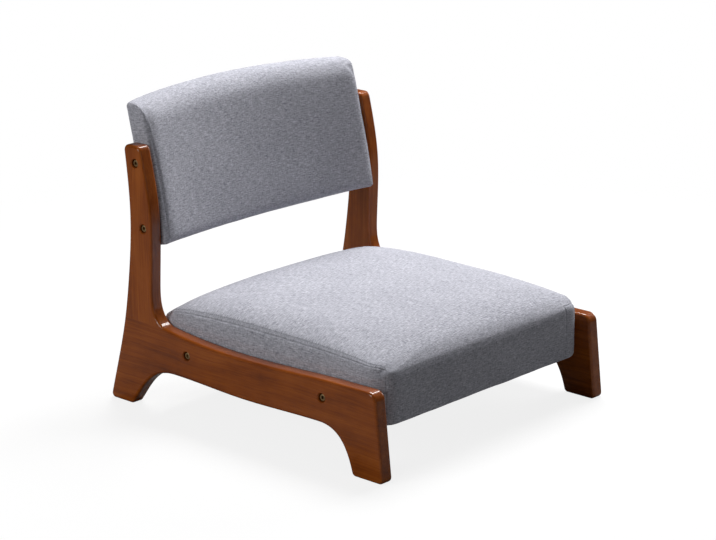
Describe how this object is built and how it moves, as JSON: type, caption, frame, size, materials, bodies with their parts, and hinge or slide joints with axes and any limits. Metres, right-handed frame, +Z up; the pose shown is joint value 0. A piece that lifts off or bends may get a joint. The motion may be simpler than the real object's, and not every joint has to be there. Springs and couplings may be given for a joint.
{
  "type": "low floor chair",
  "caption": "Low legless-style floor chair: upholstered seat and curved backrest bolted between two wooden side frames with arched feet.",
  "frame": {"origin": "middle of the chair's box on the floor, under the feet", "axes": "+X to the chair's side (right as seen from in front), +Y from the front edge of the seat to the backrest, +Z up; the chair is symmetric about X = 0"},
  "size_m": [0.5, 0.565, 0.4609],
  "materials": {
    "stained_wood": "satin walnut-coloured stain and lacquer on hardwood",
    "inner_wood": "planed softwood, unfinished",
    "plywood": "plywood, unfinished",
    "dowel_wood": "beech dowel",
    "foam": "open-cell upholstery foam",
    "wadding": "polyester wadding",
    "upholstery": "blue-grey heathered plain-weave upholstery fabric",
    "dust_cloth": "black non-woven cloth",
    "zinc_steel": "zinc-plated steel",
    "dark_steel": "black-oxide steel",
    "insert_brass": "plain brass"
  },
  "bodies": {
    "root": {"left_side_rail": "stained_wood", "right_side_rail": "stained_wood", "left_back_post": "stained_wood", "right_back_post": "stained_wood", "post_dowels": "dowel_wood", "seat_front_rail": "inner_wood", "seat_rear_rail": "inner_wood", "seat_left_rail": "inner_wood", "seat_right_rail": "inner_wood", "seat_corner_blocks": "inner_wood", "seat_deck": "plywood", "deck_screws": "zinc_steel", "seat_foam": "foam", "seat_cover": "upholstery", "seat_dust_cover": "dust_cloth", "seat_staples": "zinc_steel", "backrest_left_stile": "inner_wood", "backrest_right_stile": "inner_wood", "backrest_bottom_rail": "inner_wood", "backrest_top_rail": "inner_wood", "backrest_panel": "plywood", "backrest_front_foam": "foam", "backrest_rear_padding": "wadding", "backrest_cover": "upholstery", "seat_bolts": "dark_steel", "seat_bolt_washers": "dark_steel", "seat_threaded_inserts": "insert_brass", "backrest_bolts": "dark_steel", "backrest_bolt_washers": "dark_steel", "backrest_threaded_inserts": "insert_brass"}
  },
  "joints": []
}
